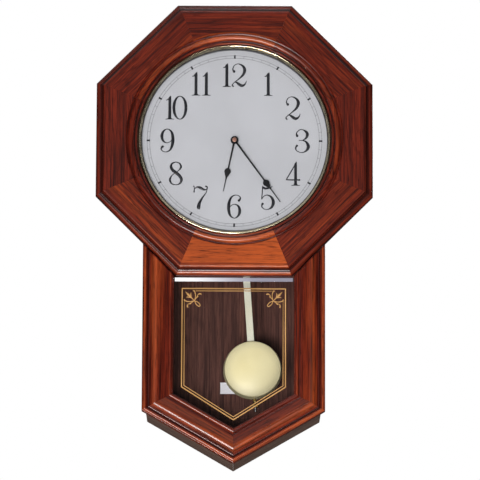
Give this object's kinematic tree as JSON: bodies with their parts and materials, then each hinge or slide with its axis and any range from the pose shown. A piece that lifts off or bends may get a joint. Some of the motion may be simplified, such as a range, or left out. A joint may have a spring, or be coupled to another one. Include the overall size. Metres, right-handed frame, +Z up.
{
  "type": "wall clock",
  "caption": "Octagonal drop-trunk wall clock: moulded wood frame, round dial under a brass bezel, and a pendulum behind a pointed glass door.",
  "frame": {"origin": "on the wall plane, at the back face of the back panel, straight behind the hand arbor", "axes": "+Z up, the clock faces -Y, +X to the viewer's right; the wall is the plane y = 0"},
  "size_m": [0.33, 0.1113, 0.5539],
  "materials": {
    "stained_oak": "dark red-brown stain under gloss lacquer, open grain",
    "dark_veneer": "dark walnut veneer, vertical grain, satin",
    "thin_stain": "thin grey-brown stain, satin",
    "lacquered_brass": "polished and lacquered",
    "pale_brass": "pale gold, satin to polished",
    "zinc_plated_steel": "zinc plated",
    "black_enamel": "gloss black enamel",
    "dial_enamel": "satin off-white enamel with black printing",
    "window_glass": "clear float glass",
    "black_plastic": "moulded black plastic, fine texture",
    "white_nylon": "moulded white nylon",
    "enamelled_copper": "enamelled copper wire, wound",
    "black_rubber": "soft black rubber",
    "label_paper": "plain white paper",
    "battery_sleeve": "printed shrink sleeve, no lettering",
    "green_laminate": "green circuit board laminate"
  },
  "bodies": {
    "case": {"octagon_rail_1": "stained_oak", "octagon_rail_2": "stained_oak", "octagon_rail_3": "stained_oak", "octagon_rail_4": "stained_oak", "octagon_rail_5": "stained_oak", "octagon_rail_6": "stained_oak", "octagon_rail_7": "stained_oak", "octagon_rail_8": "stained_oak", "backing_board": "dark_veneer", "case_side_left": "thin_stain", "case_side_right": "thin_stain", "case_base_left": "thin_stain", "case_base_right": "thin_stain", "case_top": "thin_stain", "back_panel": "dark_veneer", "paper_label": "label_paper", "hanger_plate": "zinc_plated_steel", "hanger_screw_left": "zinc_plated_steel", "hanger_screw_right": "zinc_plated_steel", "hinge_case_leaf_upper": "lacquered_brass", "hinge_case_leaf_lower": "lacquered_brass", "catch_magnet": "black_plastic", "dial_plate": "dial_enamel", "bezel_ring": "lacquered_brass", "dial_glass": "window_glass", "fixing_nut": "lacquered_brass", "movement_case": "black_plastic", "movement_cover": "black_plastic", "rubber_washer": "black_rubber", "battery": "battery_sleeve", "battery_contact_left": "zinc_plated_steel", "battery_contact_right": "zinc_plated_steel", "circuit_board": "green_laminate", "motor_coil": "enamelled_copper", "drive_coil": "enamelled_copper", "pivot_pin": "zinc_plated_steel"},
    "door": {"door_stile_left": "stained_oak", "door_stile_right": "stained_oak", "door_base_rail_left": "stained_oak", "door_base_rail_right": "stained_oak", "door_glass": "window_glass", "hinge_door_leaf_upper": "lacquered_brass", "hinge_door_leaf_lower": "lacquered_brass", "catch_plate": "zinc_plated_steel"},
    "minute_work": {"centre_wheel": "white_nylon", "minute_hand": "black_enamel", "hand_nut": "lacquered_brass"},
    "hour_work": {"hour_wheel": "white_nylon", "hour_hand": "black_enamel"},
    "intermediate_work": {"intermediate_wheel": "white_nylon", "setting_knob": "black_plastic"},
    "motor_rotor": {"rotor": "zinc_plated_steel"},
    "pendulum": {"pendulum_strap": "black_plastic", "pendulum_magnet": "zinc_plated_steel", "pendulum_rod": "pale_brass", "rating_stud": "zinc_plated_steel"},
    "bob": {"bob_shell": "pale_brass", "bob_back": "pale_brass"},
    "regulator": {"rating_nut": "lacquered_brass"}
  },
  "joints": [
    {"name": "door_hinge", "type": "hinge", "parent": "case", "child": "door", "pos_m": [-0.1056, -0.0919, -0.23], "axis": [0, 0, -1], "range_deg": [0, 105]},
    {"name": "minute_turn", "type": "hinge", "parent": "case", "child": "minute_work", "pos_m": [0, -0.1, 0], "axis": [0, 1, 0], "continuous": true},
    {"name": "hour_turn", "type": "hinge", "parent": "case", "child": "hour_work", "pos_m": [0, -0.1, 0], "axis": [0, 1, 0], "continuous": true},
    {"name": "intermediate_turn", "type": "hinge", "parent": "case", "child": "intermediate_work", "pos_m": [-0.009, -0.08, 0], "axis": [0, 1, 0], "continuous": true},
    {"name": "rotor_turn", "type": "hinge", "parent": "case", "child": "motor_rotor", "pos_m": [0.005, -0.0825, 0.016], "axis": [0, 1, 0], "continuous": true},
    {"name": "pendulum_swing", "type": "hinge", "parent": "case", "child": "pendulum", "pos_m": [0, -0.0635, 0.052], "axis": [0, 1, 0], "range_deg": [-1, 9.2]},
    {"name": "bob_slide", "type": "slide", "parent": "pendulum", "child": "bob", "axis": [-0.0701, 0, 0.9975], "range_m": [-0.003, 0.003]},
    {"name": "rating_nut_turn", "type": "hinge", "parent": "bob", "child": "regulator", "pos_m": [0.02566, -0.0658, -0.3131], "axis": [-0.0701, 0, 0.9975], "range_deg": [-1560, 1560]}
  ],
  "couplings": [
    {"joint": "hour_turn", "follows": "minute_turn", "ratio": 0.083333},
    {"joint": "intermediate_turn", "follows": "minute_turn", "ratio": -0.33333},
    {"joint": "rating_nut_turn", "follows": "bob_slide", "rad_per_m": 8976}
  ]
}
